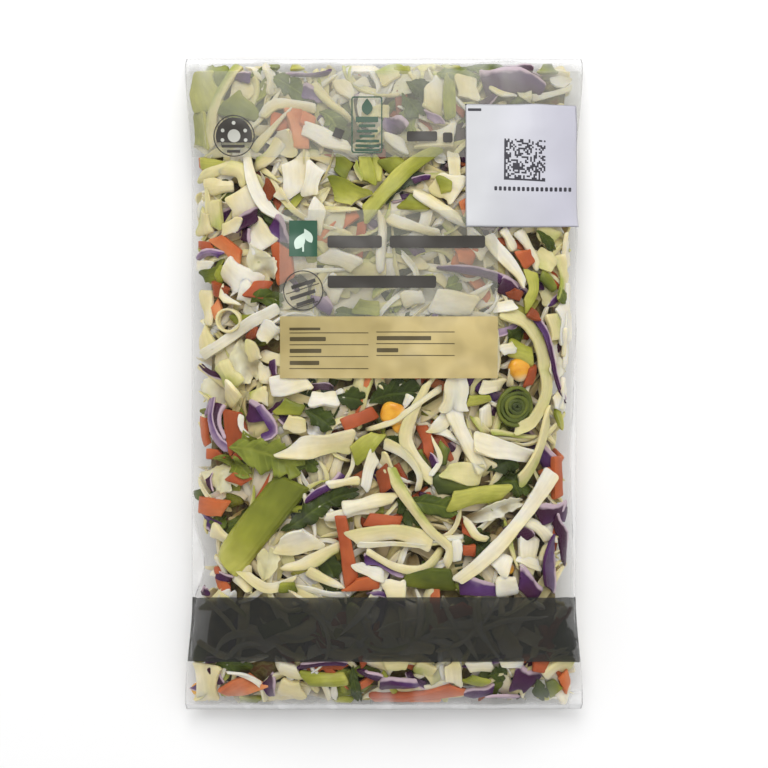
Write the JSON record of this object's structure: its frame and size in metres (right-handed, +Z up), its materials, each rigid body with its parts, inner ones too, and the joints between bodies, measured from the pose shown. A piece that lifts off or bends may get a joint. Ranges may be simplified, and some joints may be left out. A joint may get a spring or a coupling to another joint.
{
  "type": "pack of coleslaw",
  "caption": "Sealed clear pillow pack of shredded coleslaw vegetables, lying on its back, with saw-toothed end seals and a paper sticker on the front.",
  "frame": {"origin": "under the centre of the pack, on the table it lies on", "axes": "+Z up through the printed front, +Y along the pack to its top end, where the sticker is; +X to the right of the front"},
  "size_m": [0.182, 0.3, 0.0446],
  "materials": {
    "film": "glossy",
    "sticker_paper": "matte"
  },
  "bodies": {
    "root": {"filled_bag": "film", "use_by_sticker": "sticker_paper"}
  },
  "joints": []
}
